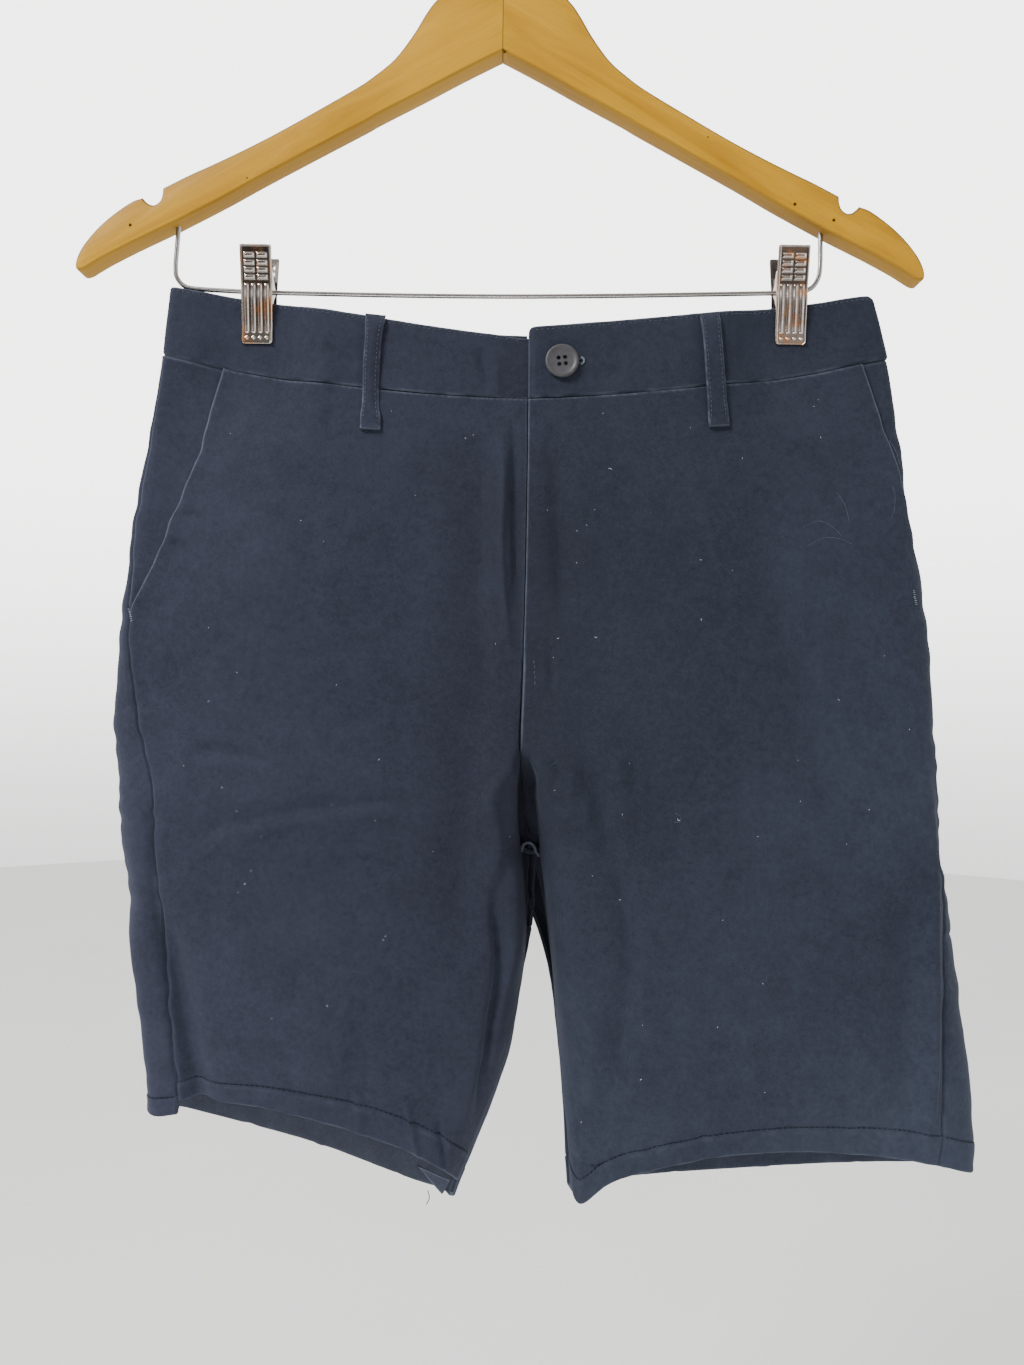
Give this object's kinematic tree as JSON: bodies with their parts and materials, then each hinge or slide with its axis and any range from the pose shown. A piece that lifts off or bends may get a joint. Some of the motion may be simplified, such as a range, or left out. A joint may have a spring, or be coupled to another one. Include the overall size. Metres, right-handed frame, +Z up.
{
  "type": "chino shorts on a wooden clip hanger",
  "caption": "Navy chino shorts with a buttoned waistband, zip fly, slant pockets and plain hems, held by metal clips on the bar of a varnished wooden hanger with a wire hook.",
  "frame": {"origin": "where a rail bears inside the top of the hanger's wire hook, on the hanger's middle plane", "axes": "+Z up; -Y out of the front of the shorts; +X towards the wearer's left leg, so the wearer's right is -X"},
  "size_m": [0.4776, 0.0675, 0.7151],
  "materials": {
    "twill": "matte cotton twill, washed, lighter on its edges and seams",
    "pocketing": "plain thin cotton pocketing, dark",
    "zip_tape": "woven zip tape",
    "zip_metal": "dark enamelled zip slider",
    "button": "satin four-hole button, faint marbling",
    "wood": "clear satin varnish over honey-coloured wood, grain along the arms",
    "hook_wire": "bright plated wire",
    "bar_wire": "plated steel wire",
    "clip_plate": "bright plated pressed steel",
    "spring_wire": "spring wire"
  },
  "bodies": {
    "root": {"front_right": "twill", "front_left": "twill", "back_right": "twill", "back_left": "twill", "waistband_right": "twill", "waistband_left": "twill", "pocket_facing_right": "twill", "pocket_facing_left": "twill", "fly_underlap": "twill", "belt_loop_front_right": "twill", "belt_loop_front_left": "twill", "belt_loop_back_right": "twill", "belt_loop_back_left": "twill", "belt_loop_back_centre": "twill", "pocket_bag_right": "pocketing", "pocket_bag_left": "pocketing", "zip": "zip_tape", "zip_slider": "zip_metal", "button": "button", "hanger_arm_right": "wood", "hanger_arm_left": "wood", "hook": "hook_wire", "clip_bar": "bar_wire", "clip_front_right": "clip_plate", "clip_front_left": "clip_plate", "clip_rear_right": "clip_plate", "clip_rear_left": "clip_plate", "clip_spring_right": "spring_wire", "clip_spring_left": "spring_wire"}
  },
  "joints": []
}
